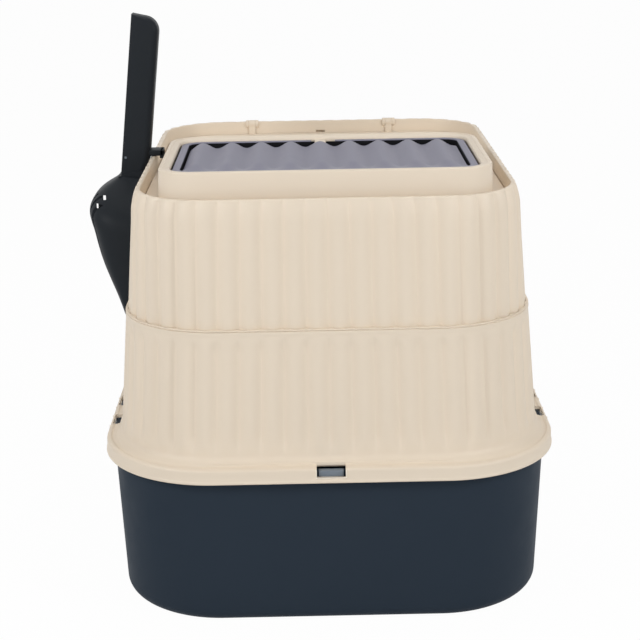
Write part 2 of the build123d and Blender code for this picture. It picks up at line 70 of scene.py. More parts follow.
# Hood outlines as (z, half width, corner radius)
HOOD_WALL = 1.6
NEST_STEP = HOOD_WALL + 0.35
FOOT = (150.2, 186.0, 93.0)
SEAM = (SEAM_Z, 176.8, 85.0)
NEST_SEAM = (SEAM_Z, SEAM[1] - NEST_STEP, SEAM[2] - NEST_STEP)
SHOULDER = (LIP_Z - 15.0, 167.25, 66.6)
SKIRT_HALF = 200.0
SKIRT_CORNER = 98.0

# Catches as (name, x, y, heading in degrees), and the slots that show them
CATCH_HALF = 10.5
SLOT_HALF = 12.2
SIDE_CATCH_NEAR, SIDE_CATCH_FAR = -108.0, -58.0
CATCHES = [
    ("rear", 0.0, -SKIRT_HALF - LENGTH_GAIN, -90),
    ("front", 0.0, SKIRT_HALF + LENGTH_GAIN, 90),
    ("left_rear", -SKIRT_HALF, SIDE_CATCH_NEAR, 180),
    ("left_front", -SKIRT_HALF, SIDE_CATCH_FAR, 180),
    ("right_rear", SKIRT_HALF, SIDE_CATCH_NEAR, 0),
    ("right_front", SKIRT_HALF, SIDE_CATCH_FAR, 0),
]

# Doorway and flap in the far wall
DOOR_HALF, DOOR_RADIUS, DOOR_MIDDLE_Z = 92.0, 18.0, 247.0
DOOR_GAIN = -9.0
DOOR_BEAD = 4.0
FLAP_GAP = 3.5
FLAP_Y, FLAP_AXIS_Z = 203.34, 321.0

# Lid hinge and collar
HINGE_XS = (("left", -73.0), ("right", 73.0))
HINGE_Y, HINGE_Z, KNUCKLE = 200.65, 367.0, 4.4
COLLAR_HALF, COLLAR_NEAR, COLLAR_RADIUS = 141.65, -192.85, 30.0
COLLAR_FAR = COLLAR_NEAR + 180.0
SIDE_RIM, END_RIM = 10.6, 13.4
COLLAR_DRAFT = 1.4

# Skylight: outer edge of its frame, then the moat inside it and the waved field inside that
PANEL_RADIUS, PANEL_STRIP, PANEL_NEAR_STRIP = 18.0, 6.4, 8.2
PANEL_HALF = COLLAR_HALF - SIDE_RIM - 2.0
PANEL_NEAR = COLLAR_NEAR + END_RIM + 0.7
PANEL_FAR = COLLAR_FAR - END_RIM - 0.7
MOAT_HALF, MOAT_RADIUS = PANEL_HALF - PANEL_STRIP, PANEL_RADIUS - PANEL_STRIP
MOAT_NEAR, MOAT_FAR = PANEL_NEAR + PANEL_NEAR_STRIP, PANEL_FAR - PANEL_STRIP
MOAT_FLOOR = PANEL_TOP - 9.0
FINGER_SLOT = 9.2
FIELD_HALF, FIELD_RADIUS = MOAT_HALF - 2.0, 15.0
FIELD_NEAR, FIELD_FAR = -173.0, MOAT_FAR - FINGER_SLOT
WAVE_SHIFT = -3.0
WAVE_PITCH = 26.8
WAVE_MIDDLE, WAVE_RISE = PANEL_TOP - 0.9, 2.5
WAVE_EASE = 30.0

# Scoop, drawn in its leaning frame: outward from the hood, upward, and across along Y.
# The bowl's profiles are (drop below the joint, depth of its back or half its width).
SCOOP_X, SCOOP_Y = -164.15, 12.0
TILT = math.radians(6.6)
OUT = np.array([-math.cos(TILT), 0.0, math.sin(TILT)])
UP = np.array([math.sin(TILT), 0.0, math.cos(TILT)])
JOINT = -20.8
BOWL_LENGTH = 131.0
BOWL_WALL = 2.2
BOWL_RIM_OFFSET, BOWL_RIM_LEAN = 4.5, 1.5
BOWL_BACK = [(0, 26.5), (3, 30.0), (8, 37.0), (14, 44.0), (20, 49.0), (27, 52.3), (33, 53.2),
             (40, 51.4), (50, 47.0), (60, 43.8), (72, 39.4), (84, 34.0), (96, 27.4), (108, 20.2),
             (120, 14.0), (131, 10.4)]
BOWL_SIDE = [(0, 15), (4, 19.5), (10, 28), (18, 39), (26, 48), (34, 53.6), (44, 56), (110, 56),
             (120, 53.5), (127, 47.5), (131, 38)]
SIEVE_SLOTS, SIEVE_PITCH, SIEVE_HALF = 9, 9.6, 2.0
HANDLE_HALF, HANDLE_DEPTH, HANDLE_TOP = 12.0, 26.0, 131.1
HANDLE_TOP_RADIUS = 14.0
HOLE_OUT, HOLE_UP, HOLE_RADIUS = 22.4, -2.8, 1.4
HOOK_NEAR, HOOK_FAR = 3.0, 21.0

# Camera that took the photo: pixels, radians and millimetres
PHOTO_PIXELS = 640
FOCAL_PIXELS = 1522.967538
CENTRE_U, CENTRE_V = 325.64302, 325.848434
ELEVATION, YAW, ROLL = 0.289004, 0.007777, -0.017202
DISTANCE, AIM_Z = 1490.185218, 200.0
SENSOR = 36.0


# Mesh building

def ring(z, half, radius, shares=PLAIN, gain=LENGTH_GAIN, middle_y=0.0, flute=0.0):
    """Rounded rectangle at height z, walked anticlockwise from the middle of its -Y side."""
    straight_x = half - radius
    straight_y = half + gain - radius
    quarter = math.pi * radius / 2
    runs = [straight_x, quarter, 2 * straight_y, quarter, 2 * straight_x,
            quarter, 2 * straight_y, quarter, straight_x]
    ways = np.concatenate([[0.0], np.cumsum(runs)])
    xs = np.array([0, 1, 1, 1, 1, -1, -1, -1, -1, 0]) * straight_x
    ys = np.array([-1, -1, -1, 1, 1, 1, 1, -1, -1, -1]) * straight_y
    turns = np.radians([-90, -90, 0, 0, 90, 90, 180, 180, 270, 270])
    way = shares * ways[-1]
    turn = np.interp(way, ways, turns)
    reach = radius - flute * flute_shape(shares)
    x = np.interp(way, ways, xs) + reach * np.cos(turn)
    y = np.interp(way, ways, ys) + reach * np.sin(turn) + middle_y
    return np.column_stack([x, y, np.full(len(shares), z)])


def oblong(z, half, near_y, far_y, radius):
    """Plain rounded rectangle between two Y values."""
    return ring(z, half, radius, PLAIN, (far_y - near_y) / 2 - half, (near_y + far_y) / 2)


def flute_shape(shares):
    """0 on a rib's crest and 1 in the narrow rounded valley between two ribs."""
    u = np.abs(2 * ((shares * FLUTES) % 1.0) - 1)
    rounding = 2 / FLUTE_SHARPNESS
    return (u ** 2 - u ** FLUTE_SHARPNESS * rounding) / (1 - rounding)


def smooth_step(low, high, value):
    t = min(max((value - low) / (high - low), 0.0), 1.0)
    return t * t * (3 - 2 * t)


def mix(low, high, z):
    """Half width and radius at height z on the line between two (z, half, radius) levels."""
    share = (z - low[0]) / (high[0] - low[0])
    return low[1] + share * (high[1] - low[1]), low[2] + share * (high[2] - low[2])


def arc(middle_u, middle_z, radius, start, end, count=5):
    """Points (u, z) on an arc, by angle in degrees."""
    angles = np.radians(np.linspace(start, end, count))
    return [(middle_u + radius * math.cos(a), middle_z + radius * math.sin(a)) for a in angles]


def skin(rings, loop=False, cap_start=False, cap_end=False):
    """Vertices and faces of a band of quads over rings with the same number of points."""
    count = len(rings[0])
    verts = np.concatenate(rings)
    faces = []
    last = len(rings) if loop else len(rings) - 1
    for row in range(last):
        a = row * count
        b = ((row + 1) % len(rings)) * count
        for j in range(count):
            k = (j + 1) % count
            faces.append((a + j, a + k, b + k, b + j))
    if cap_start:
        faces.append(tuple(reversed(range(count))))
    if cap_end:
        start = (len(rings) - 1) * count
        faces.append(tuple(range(start, start + count)))
    return verts, faces


def strip_faces(rows, count, shift):
    """Faces of a sheet's two sides and its two long edges. The lower side's points follow by shift."""
    faces = []
    for row in range(rows - 1):
        for j in range(count - 1):
            a, b = row * count + j, (row + 1) * count + j
            faces.append((a, a + 1, b + 1, b))
            faces.append((a + shift, b + shift, b + 1 + shift, a + 1 + shift))
        for j in (0, count - 1):
            a, b = row * count + j, (row + 1) * count + j
            faces.append((a, b, b + shift, a + shift))
    return faces


def join_parts(*parts):
    """Several (verts, faces) pairs as one."""
    verts, faces, start = [], [], 0
    for part_verts, part_faces in parts:
        verts.append(np.asarray(part_verts, float))
        faces += [tuple(i + start for i in face) for face in part_faces]
        start += len(part_verts)
    return np.concatenate(verts), faces


def plate(outer, hole):
    """Flat face between an outer loop and a hole's loop, as triangles."""
    triangles = geometry.tessellate_polygon([[Vector(p) for p in loop] for loop in (outer, hole)])
    return np.concatenate([outer, hole]), [tuple(triangle) for triangle in triangles]


def smooth(obj, angle=32):
    mesh = obj.data
    mesh.polygons.foreach_set("use_smooth", [True] * len(mesh.polygons))
    mesh.set_sharp_from_angle(angle=math.radians(angle))
    mesh.update()


def make_object(name, verts, faces):
    mesh = bpy.data.meshes.new(name)
    mesh.from_pydata([tuple(v) for v in np.asarray(verts) * MM], [], faces)
    shape = bmesh.new()
    shape.from_mesh(mesh)
    bmesh.ops.remove_doubles(shape, verts=shape.verts, dist=0.00002)
    bmesh.ops.recalc_face_normals(shape, faces=shape.faces)
    shape.to_mesh(mesh)
    shape.free()
    obj = bpy.data.objects.new(name, mesh)
    bpy.context.scene.collection.objects.link(obj)
    smooth(obj)
    return obj


def cut(obj, tools):
    """Takes the tools' shapes out of the piece and deletes the tools."""
    for tool in tools:
        modifier = obj.modifiers.new("cut", "BOOLEAN")
        modifier.operation = "DIFFERENCE"
        modifier.solver = "EXACT"
        modifier.object = tool
    bpy.context.view_layer.update()
    graph = bpy.context.evaluated_depsgraph_get()
    mesh = bpy.data.meshes.new_from_object(obj.evaluated_get(graph))
    obj.modifiers.clear()
    obj.data = mesh
    for tool in tools:
        bpy.data.objects.remove(tool)
    smooth(obj)


def rounded_box(low, high, edge=0.6, segments=3):
    """Box with rounded edges, as verts and faces, from a grid drawn in to its edge radius."""
    low, high = np.array(low, float), np.array(high, float)
    edge = min(edge, 0.49 * float((high - low).min()))
    inner_low, inner_high = low + edge, high - edge
    angles = np.linspace(0, math.pi / 2, segments + 1)
    marks = []
    for axis in range(3):
        start = inner_low[axis] - edge * np.cos(angles)
        end = inner_high[axis] + edge * np.sin(angles)
        marks.append(np.concatenate([start, end]))
    verts, faces, index = [], [], {}

    def vertex(p):
        inside = np.minimum(np.maximum(p, inner_low), inner_high)
        off = p - inside
        length = np.linalg.norm(off)
        point = inside + off / length * edge if length > 0 else p
        key = tuple(np.round(point, 5))
        if key not in index:
            index[key] = len(verts)
            verts.append(point)
        return index[key]

    for axis in range(3):
        u_axis, v_axis = (axis + 1) % 3, (axis + 2) % 3
        for value in (low[axis], high[axis]):
            us, vs = marks[u_axis], marks[v_axis]
            for i in range(len(us) - 1):
                for j in range(len(vs) - 1):
                    corners = []
                    for a, b in ((i, j), (i + 1, j), (i + 1, j + 1), (i, j + 1)):
                        p = np.zeros(3)
                        p[axis], p[u_axis], p[v_axis] = value, us[a], vs[b]
                        corners.append(vertex(p))
                    clean = [c for n, c in enumerate(corners) if c != corners[n - 1]]
                    if len(set(clean)) >= 3:
                        faces.append(tuple(clean))
    return np.array(verts), faces


def box_tool(low, high, edge=0.5):
    return make_object("tool", *rounded_box(low, high, edge))


def disc_x(start, end, y, z, radius, edge=0.5, count=48):
    """Round bar along X with rounded ends."""
    rows = [(start, radius - edge)]
    for turn in np.radians([30, 60, 90]):
        rows.append((start + edge * (1 - math.cos(turn)), radius - edge + edge * math.sin(turn)))
    for turn in np.radians([90, 60, 30, 0]):
        rows.append((end - edge * (1 - math.cos(turn)), radius - edge + edge * math.sin(turn)))
    angles = np.linspace(0, 2 * math.pi, count, endpoint=False)
    rings = []
    for x, reach in rows:
        ys = y + reach * np.cos(angles)
        zs = z + reach * np.sin(angles)
        rings.append(np.column_stack([np.full(count, x), ys, zs]))
    return skin(rings, cap_start=True, cap_end=True)


# Materials

def noise(nodes, scale, detail):
    texture = nodes.new("ShaderNodeTexNoise")
    texture.inputs["Scale"].default_value = scale
    texture.inputs["Detail"].default_value = detail
    return texture


def plastic(name, colour, shade, roughness, grain_mm, grain_depth_mm, gloss, wear=0.05):
    """Moulded plastic: fine matt grain, soft drift of colour and small wear in roughness."""
    material = bpy.data.materials.new(name)
    material.use_nodes = True
    nodes, links = material.node_tree.nodes, material.node_tree.links
    shader = nodes["Principled BSDF"]
    shader.inputs["Specular IOR Level"].default_value = gloss
    place = nodes.new("ShaderNodeTexCoord")
    drift = noise(nodes, 9.0, 4.0)
    tint = nodes.new("ShaderNodeMix")
    tint.data_type = "RGBA"
    tint.inputs["A"].default_value = (*colour, 1)
    tint.inputs["B"].default_value = (*shade, 1)
    fine = noise(nodes, 1.0 / (grain_mm * MM), 3.0)
    rub = noise(nodes, 45.0, 6.0)
    rough = nodes.new("ShaderNodeMapRange")
    rough.inputs["From Min"].default_value = 0.3
    rough.inputs["From Max"].default_value = 0.7
    rough.inputs["To Min"].default_value = roughness - wear
    rough.inputs["To Max"].default_value = roughness + wear
    bump = nodes.new("ShaderNodeBump")
    bump.inputs["Distance"].default_value = grain_depth_mm * MM
    bump.inputs["Strength"].default_value = 0.6
    for texture in (drift, fine, rub):
        links.new(place.outputs["Object"], texture.inputs["Vector"])
    links.new(drift.outputs["Fac"], tint.inputs["Factor"])
    links.new(tint.outputs["Result"], shader.inputs["Base Color"])
    links.new(rub.outputs["Fac"], rough.inputs["Value"])
    links.new(rough.outputs["Result"], shader.inputs["Roughness"])
    links.new(fine.outputs["Fac"], bump.inputs["Height"])
    links.new(bump.outputs["Normal"], shader.inputs["Normal"])
    return material


# Cream lightened past the hood's own colour: a painted highlight for the bright border round the skirt's
# slots.
painted_highlight_cream = plastic("cream_painted_highlight_plastic", (0.95, 0.87, 0.75), (0.93, 0.85, 0.73),
                    roughness=0.5, grain_mm=0.9, grain_depth_mm=0.03, gloss=0.4)
cream = plastic("cream_plastic", (0.8, 0.692, 0.56), (0.775, 0.672, 0.545),
                roughness=0.5, grain_mm=0.9, grain_depth_mm=0.03, gloss=0.4)
navy = plastic("navy_plastic", (0.0265, 0.038, 0.054), (0.024, 0.035, 0.0505),
               roughness=0.55, grain_mm=0.8, grain_depth_mm=0.04, gloss=0.06)
charcoal = plastic("charcoal_plastic", (0.0205, 0.0235, 0.028), (0.018, 0.0215, 0.0255),
                   roughness=0.45, grain_mm=0.7, grain_depth_mm=0.02, gloss=0.07)
steel_blue = plastic("catch_plastic", (0.165, 0.2, 0.238), (0.15, 0.184, 0.22),
                     roughness=0.4, grain_mm=0.7, grain_depth_mm=0.02, gloss=0.5)
smoky = plastic("smoky_plastic", (0.22, 0.216, 0.276), (0.212, 0.208, 0.267),
                roughness=0.4, grain_mm=6.0, grain_depth_mm=0.004, gloss=0.1, wear=0.01)
# Near-black smoky plastic: painted shade for the dark interior seen through the skylight's moat.
painted_shade_smoky = plastic("smoky_painted_shade_plastic", (0.014, 0.014, 0.016), (0.012, 0.012, 0.014),
                     roughness=0.5, grain_mm=6.0, grain_depth_mm=0.01, gloss=0.05)
wire = plastic("pin_steel", (0.56, 0.56, 0.57), (0.5, 0.5, 0.51),
               roughness=0.34, grain_mm=0.4, grain_depth_mm=0.01, gloss=0.5)
wire.node_tree.nodes["Principled BSDF"].inputs["Metallic"].default_value = 1.0


def place_piece(obj, body, slot_name, material, *nodes):
    obj.data.materials.clear()
    obj.data.materials.append(material)
    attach(obj, body)
    if nodes:
        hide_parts(*nodes)


# Litter tray

def tray_row(z, grow=0.0):
    half, radius = mix(TRAY_FOOT, TRAY_RIM, z)
    return z, half + grow, radius + grow


def tray_rows():
    """Section of the tray: underside, outer wall, rolled rim, inner wall and floor."""
    _, foot_half, foot_radius = TRAY_FOOT
    floor_insets = (88.0, 60.0, 30.0, 16.0)
    rows = [(0.0, foot_half - inset, foot_radius - inset) for inset in floor_insets]
    rows += [tray_row(z, u) for u, z in arc(-TRAY_FILLET, TRAY_FILLET, TRAY_FILLET, -90, 0, 10)]
    rows += [tray_row(z) for z in (30, 60, 90, 120, 138)]
    _, half, radius = tray_row(TRAY_TOP - 3.0)
    rows.append((TRAY_TOP - 3.4, half, radius))
    for u, z in arc(1.1, TRAY_TOP - 2.5, 0.5, -90, 0, 4) + arc(0.9, TRAY_TOP - 0.7, 0.7, 0, 90, 4):
        rows.append((z, half + u, radius + u))
    _, half, radius = tray_row(TRAY_TOP)
    for u, z in arc(-1.9, TRAY_TOP - 0.6, 0.6, 90, 180, 4):
        rows.append((z, half + u, radius + u))
    rows += [tray_row(z, -TRAY_WALL) for z in (138, 120, 90, 60, 30)]
    rows += [tray_row(z, u) for u, z in arc(-TRAY_FILLET, TRAY_FILLET, TRAY_FILLET - TRAY_WALL, 0, -90, 9)]
    rows += [(TRAY_WALL, foot_half - inset, foot_radius - inset) for inset in reversed(floor_insets)]
    return rows


def build_tray():
    rings = [ring(z, half, radius) for z, half, radius in tray_rows()]
    tray = make_object("tray_shell", *skin(rings, cap_start=True, cap_end=True))
    place_piece(tray, "tray", "tray_plastic", navy, "litter_tray")


# Doorway, shared by both hoods

def door_outline(grow, count=160):
    """Doorway's rounded outline as x and z values."""
    points = ring(0.0, DOOR_HALF + grow, DOOR_RADIUS + grow, np.arange(count) / count, gain=DOOR_GAIN)
    return points[:, 0], points[:, 1] + DOOR_MIDDLE_Z


def door_tool(grow):
    x, z = door_outline(grow)
    near, far = (np.column_stack([x, np.full(len(x), y), z]) for y in (150.0, 260.0))
    return make_object("tool", *skin([far, near], cap_start=True, cap_end=True))


def wall_y(x, z, low, high):
    """Depth of the far wall's crest line at (x, z)."""
    half, radius = mix(low, high, z)
    over = np.maximum(np.abs(x) - (half - radius), 0.0)
    return half + LENGTH_GAIN - radius + np.sqrt(np.maximum(radius ** 2 - over ** 2, 0.0))


def door_frame(name, grow, low, high, lost_low, lost_high):
    """Raised rim round the doorway, without its part between two heights."""
    section = [(0.0, -3.3), (0.0, 0.9), (0.15, 1.2), (0.5, 1.4), (DOOR_BEAD - 0.5, 1.4),
               (DOOR_BEAD - 0.15, 1.2), (DOOR_BEAD, 0.9), (DOOR_BEAD, -1.9), (DOOR_BEAD - 1.0, -3.3)]
    rings = []
    for across, out in section:
        x, z = door_outline(grow + across, 320)
        y = wall_y(x, np.clip(z, low[0], high[0]), low, high) + out
        rings.append(np.column_stack([x, y, z]))
    obj = make_object(name, *skin(rings, loop=True))
    cut(obj, [box_tool((-120.0, 180.0, lost_low), (120.0, 260.0, lost_high), 0.1)])
    return obj


# Lower hood

def rib_fade(z):
    """Share of the ribs' depth at a height of the lower hood."""
    return smooth_step(151, 172, z) * (1 - smooth_step(244, 258, z))


def skirt_outline():
    """Skirt's foot bead, side, ridge and flange as (half width, z)."""
    bead = arc(199.2, 134.8, 0.8, -90, 0, 5)
    side = [(200.0, 135.6), (199.85, 136.1), (199.45, 136.6), (199.3, 137.2), (199.25, 141.0)]
    ridge = arc(197.2, 144.6, 2.0, 0, 75, 7)
    flange = [(197.1, 146.8), (196.5, 147.1), (195.8, 147.3), (195.1, 147.2), (194.6, 146.9),
              (194.0, 146.8), (193.0, 147.0), (191.5, 147.3), (190.2, 147.8)]
    return bead + side + ridge + flange


def seam_band():
    """Band and groove under the seam as (z, growth of the wall's outline)."""
    band = [(257.8, 0.1), (258.4, 0.3), (259.2, 0.4), (260.8, 0.4)]
    groove = [(261.0, 0.1), (261.15, -0.5), (261.55, -0.5), (261.6, 0.3)]
    return band + groove + [(262.2, 0.4), (262.45, 0.3), (SEAM_Z, 0.1)]


def lower_rows():
    """Section of the lower hood: skirt, flare, ribbed wall, seam band, inner wall and underside."""
    flare, flare_sink = 5.4, 0.2
    rows = [(z, half, half - SKIRT_CORNER, 0.0) for half, z in skirt_outline()]
    for grow, z in arc(flare, 154.6, flare, 250, 180, 8):
        half, radius = mix(FOOT, SEAM, z)
        rows.append((z - flare_sink, half + grow, radius + grow, FLUTE_DEPTH * rib_fade(z)))
    for z in (155.5, 157, 158.5, *range(160, 174, 2), 205, 243, *range(246, 258, 2), 257.2):
        rows.append((z, *mix(FOOT, SEAM, z), FLUTE_DEPTH * rib_fade(z)))
    for z, grow in seam_band():
        half, radius = mix(FOOT, SEAM, z)
        rows.append((z, half + grow, radius + grow, 0.0))
    top_edge = HOOD_WALL - 0.2
    rows.append((SEAM_Z, SEAM[1] - top_edge, SEAM[2] - top_edge, FLUTE_DEPTH))
    for z in (SEAM_Z - 0.2, 256, 205, 147):
        half, radius = mix(FOOT, SEAM, z)
        rows.append((z, half - HOOD_WALL, radius - HOOD_WALL, FLUTE_DEPTH))
    for half, z in ((184.9, 144.6), (185.5, 144.0)):
        rows.append((z, half, half - 92.9, 0.0))
    for half, z in ((196.2, 144.0), (196.8, 143.4), (197.8, 134.6), (198.3, 134.0)):
        rows.append((z, half, half - SKIRT_CORNER, 0.0))
    return rows


def turned(verts, x, y, heading):
    """Points drawn with +X outward, moved to a catch's place and heading."""
    turn = math.radians(heading)
    spin = np.array([[math.cos(turn), math.sin(turn), 0], [-math.sin(turn), math.cos(turn), 0], [0, 0, 1]])
    return np.asarray(verts) @ spin + np.array([x, y, 0.0])


def slot_tools(x, y, heading):
    """Window in the skirt and, further in, the pocket behind it."""
    if x == 0:
        windows = ((-13.5, 4.0, 146.4), (-10.0, 4.0, 153.8))
    else:
        windows = ((-13.5, 4.0, 145.0), (-10.0, -3.0, 153.8))
    tools = []
    for inner, outer, top in windows:
        verts, faces = rounded_box((inner, -SLOT_HALF, 139.2), (outer, SLOT_HALF, top), 0.5)
        tools.append(make_object("tool", turned(verts, x, y, heading), faces))
    return tools


def build_lower_hood():
    rings = [ring(z, half, radius, FINE, flute=flute) for z, half, radius, flute in lower_rows()]
    shell = make_object("lower_hood_shell", *skin(rings, loop=True))
    cutters = [door_tool(DOOR_BEAD + 0.9)]
    for _, x, y, heading in CATCHES:
        cutters += slot_tools(x, y, heading)
    cut(shell, cutters)
    place_piece(shell, "lower_hood", "hood_plastic", cream, "lower_hood")
    rim = door_frame("door_frame_lower", DOOR_BEAD + 0.6, FOOT, SEAM, SEAM_Z - 0.1, 360.0)
    place_piece(rim, "lower_hood", "hood_plastic", cream)


# Slot rims and rim catches

def build_catch(name, x, y, heading):
    inner, outer, bead = -2.0, -0.25, 0.9
    left = rounded_box((inner, -SLOT_HALF - bead, 138.4), (outer, -SLOT_HALF, 146.0), 0.4)
    right = rounded_box((inner, SLOT_HALF, 138.4), (outer, SLOT_HALF + bead, 146.0), 0.4)
    foot = rounded_box((inner, -SLOT_HALF - bead, 138.3), (outer, SLOT_HALF + bead, 139.2), 0.4)
    verts, faces = join_parts(left, right, foot)
    # The rim is in the lighter cream, a painted highlight along the slot's edges.
    rim = make_object("slot_rim_" + name, turned(verts, x, y, heading), faces)
    place_piece(rim, "lower_hood", "hood_plastic", painted_highlight_cream)

    edge = -5.1
    top = 144.3 if x == 0 else 142.6
    tongue = rounded_box((edge, -CATCH_HALF, 135.9), (edge + 2.0, CATCH_HALF, top), 0.5)
    leg = rounded_box((edge - 3.4, -CATCH_HALF, top - 0.9), (edge + 0.6, CATCH_HALF, top), 0.4)
    verts, faces = join_parts(tongue, leg)
    catch = make_object("catch_tongue_" + name, turned(verts, x, y, heading), faces)
    place_piece(catch, "tray", "catch_plastic", steel_blue, "rim_catch_" + name)


# Upper hood

def shoulder_rows():
    """Rounded shoulder up to the outer edge of the lip."""
    low_z, half, radius = SHOULDER
    rows = []
    for turn in np.radians(np.linspace(8, 84, 14)):
        z = low_z + (LIP_Z - low_z) * math.sin(turn)
        inset = 5.0 * (1 - math.cos(turn)) + 0.14 * (z - low_z) * math.cos(turn)
        flute = FLUTE_DEPTH - 0.7 * smooth_step(LIP_Z - 4.0, LIP_Z - 0.1, z)
        rows.append((z, half - inset, radius - inset, flute))
    return rows


def upper_rows():
    """Section of the upper hood: nested foot, ribbed wall, rounded shoulder, lip, ledge, inner wall."""
    lip_corner = 100.65
    inner_half = 158.65
    ledge_half = 149.65
    rows = [(z, *NEST_SEAM[1:], FLUTE_DEPTH) for z in (257.0, 259.0, 261.0)]
    for z in (SEAM_Z, 264, 268, 280, 300, 320, 340, 350, 355):
        rows.append((z, *mix(NEST_SEAM, SHOULDER, z), FLUTE_DEPTH))
    rows += shoulder_rows()
    rows += [(LIP_Z - 0.05, 162.15, 61.5, 2.2), (LIP_Z, 161.9, 61.25, 2.05), (LIP_Z, 159.75, 59.1, 0.0)]

    lip = arc(inner_half + 0.8, LIP_Z - 0.8, 0.8, 90, 180, 4)
    wall = [(inner_half, 360.0), (inner_half, DECK_Z + 0.6), (inner_half - 0.6, DECK_Z)]
    ledge = [(ledge_half + 0.6, DECK_Z), (ledge_half, DECK_Z - 0.6),
             (ledge_half, DECK_Z - 1.8), (ledge_half + 0.6, DECK_Z - 2.4)]
    rows += [(z, half, half - lip_corner, 0.0) for half, z in lip + wall + ledge]

    for z in (351.6, 351.0, 340, 320, 300, 280, 266, SEAM_Z):
        half, radius = mix(NEST_SEAM, SHOULDER, z)
        under_ledge = 1.0 if z > 351.2 else 0.0
        rows.append((z, half - HOOD_WALL - under_ledge, radius - HOOD_WALL, FLUTE_DEPTH))
    for inset, z in ((HOOD_WALL, 257.0), (1.25, 256.5), (0.45, 256.5)):
        rows.append((z, NEST_SEAM[1] - inset, NEST_SEAM[2] - inset, FLUTE_DEPTH))
    return rows


def build_upper_hood():
    rings = [ring(z, half, radius, FINE, flute=flute) for z, half, radius, flute in upper_rows()]
    shell = make_object("upper_hood_shell", *skin(rings, loop=True))
    latch_pocket = box_tool((-4.7, 194.0, DECK_TOP + 0.7), (4.7, 203.5, DECK_TOP + 2.9), 0.3)
    cutters = [door_tool(0.3), latch_pocket]
    half_notch, depth = 3.65, 5.35
    for _, x in HINGE_XS:
        low = (x - half_notch, HINGE_Y - depth, HINGE_Z - depth)
        cutters.append(box_tool(low, (x + half_notch, HINGE_Y + 12, LIP_Z + 10), 0.3))
    cut(shell, cutters)
    place_piece(shell, "upper_hood", "hood_plastic", cream, "upper_hood")
    rim = door_frame("door_frame_upper", 0.0, NEST_SEAM, SHOULDER, 100.0, 256.6)
    place_piece(rim, "upper_hood", "hood_plastic", cream)


def build_ears_and_lugs():
    """Ears of the lid hinge and lugs of the flap."""
    for side, x in HINGE_XS:
        for end, middle in (("a", x - 5.15), ("b", x + 5.15)):
            ear = make_object("hinge_ear_" + side + "_" + end,
                              *disc_x(middle - 1.5, middle + 1.5, HINGE_Y, HINGE_Z, KNUCKLE, 0.6))
            place_piece(ear, "upper_hood", "hood_plastic", cream)
    for side, low_x in (("left", -101.0), ("right", 96.0)):
        low = (low_x, 198.9, FLAP_AXIS_Z - 4.5)
        high = (low_x + 5.0, 207.6, FLAP_AXIS_Z + 4.5)
        lug = make_object("flap_lug_" + side, *rounded_box(low, high, 0.8))
        place_piece(lug, "upper_hood", "hood_plastic", cream)


# Lid: deck, collar, stepped rim, snap tab and knuckles

def collar_ring(z, side, end, radius):
    return oblong(z, COLLAR_HALF - side, COLLAR_NEAR + end, COLLAR_FAR - end, radius)


def collar_rows():
    """Section of the collar: fillet from the deck, drafted wall, stepped rim and inner wall.

    The rim's points are (inset at the sides, inset at the ends, z, radius).
    """
    rows = []
    for u, z in arc(2.0, 2.0, 2.0, 270, 180, 5):
        rows.append(collar_ring(DECK_TOP + z, -u, -u, COLLAR_RADIUS + u))
    for z in (364.0, 375.0, 386.0, 389.9):
        inset = COLLAR_DRAFT * (z - DECK_Z) / (COLLAR_TOP - DECK_Z)
        rows.append(collar_ring(z, inset, inset, COLLAR_RADIUS - inset))
    edge = 1.2
    for u, z in arc(-edge, COLLAR_TOP - edge, edge, 15, 90, 5):
        inset = COLLAR_DRAFT - 0.02 - u
        rows.append(collar_ring(z, inset, inset, COLLAR_RADIUS - COLLAR_DRAFT + u))
    rim = [(5.0, 5.0, COLLAR_TOP, 23.6), (5.3, 5.3, 391.1, 22.6), (5.5, 5.5, 390.75, 21.8)]
    bevel = [(5.8, 5.8, 390.6, 21.2), (9.7, 12.0, 390.1, 19.2), (10.0, 12.4, 389.9, 18.9)]
    step = [(10.45, 13.1, 388.9, 18.3), (SIDE_RIM, 13.35, 388.4, 18.1), (SIDE_RIM, END_RIM, 385.6, 18.0),
            (10.2, 13.0, 385.2, 18.4)]
    inner = [(4.7, 4.7, 385.2, 25.6), (3.9, 3.9, 384.6, 26.4), (2.6, 2.6, DECK_Z, 27.4)]
    for side, end, z, radius in rim + bevel + step + inner:
        rows.append(collar_ring(z, side, end, radius))
    return rows


def build_lid():
    deck_half, deck_radius = 157.85, 57.2
    deck = [ring(z, deck_half - inset, deck_radius - inset) for z, inset in
            ((DECK_Z, 0.3), (DECK_Z + 0.3, 0.0), (DECK_TOP - 0.4, 0.0), (DECK_TOP, 0.4))]
    collar = collar_rows()
    parts = (plate(deck[-1], collar[0]), plate(deck[0], collar[-1]), skin(deck), skin(collar))
    lid = make_object("lid_shell", *join_parts(*parts))
    hook_notch = box_tool((-174.0, -43.0, 350.0), (-151.75, 27.0, 360.0), 1.0)
    cut(lid, [hook_notch])
    place_piece(lid, "lid", "hood_plastic", cream, "top_lid")

    tab = make_object("snap_tab", *rounded_box((-7.7, -42.0, 386.8), (2.3, -22.0, 388.6), 0.6))
    place_piece(tab, "lid", "hood_plastic", cream)
    for side, x in HINGE_XS:
        arm = rounded_box((x - 3.5, HINGE_Y - 3.9, DECK_Z + 0.2), (x + 3.5, HINGE_Y - 2.2, HINGE_Z), 0.5)
        bar = disc_x(x - 3.6, x + 3.6, HINGE_Y, HINGE_Z, KNUCKLE, 0.3)
        knuckle = make_object("lid_knuckle_" + side, *join_parts(arm, bar))
        place_piece(knuckle, "lid", "hood_plastic", cream)


# Skylight: flat frame, narrow moat and corrugated field

def outer_edge(z, inset):
    return oblong(z, PANEL_HALF - inset, PANEL_NEAR + inset, PANEL_FAR - inset, PANEL_RADIUS - inset)


def moat_edge(z, grow):
    return oblong(z, MOAT_HALF + grow, MOAT_NEAR - grow, MOAT_FAR + grow, MOAT_RADIUS + grow)


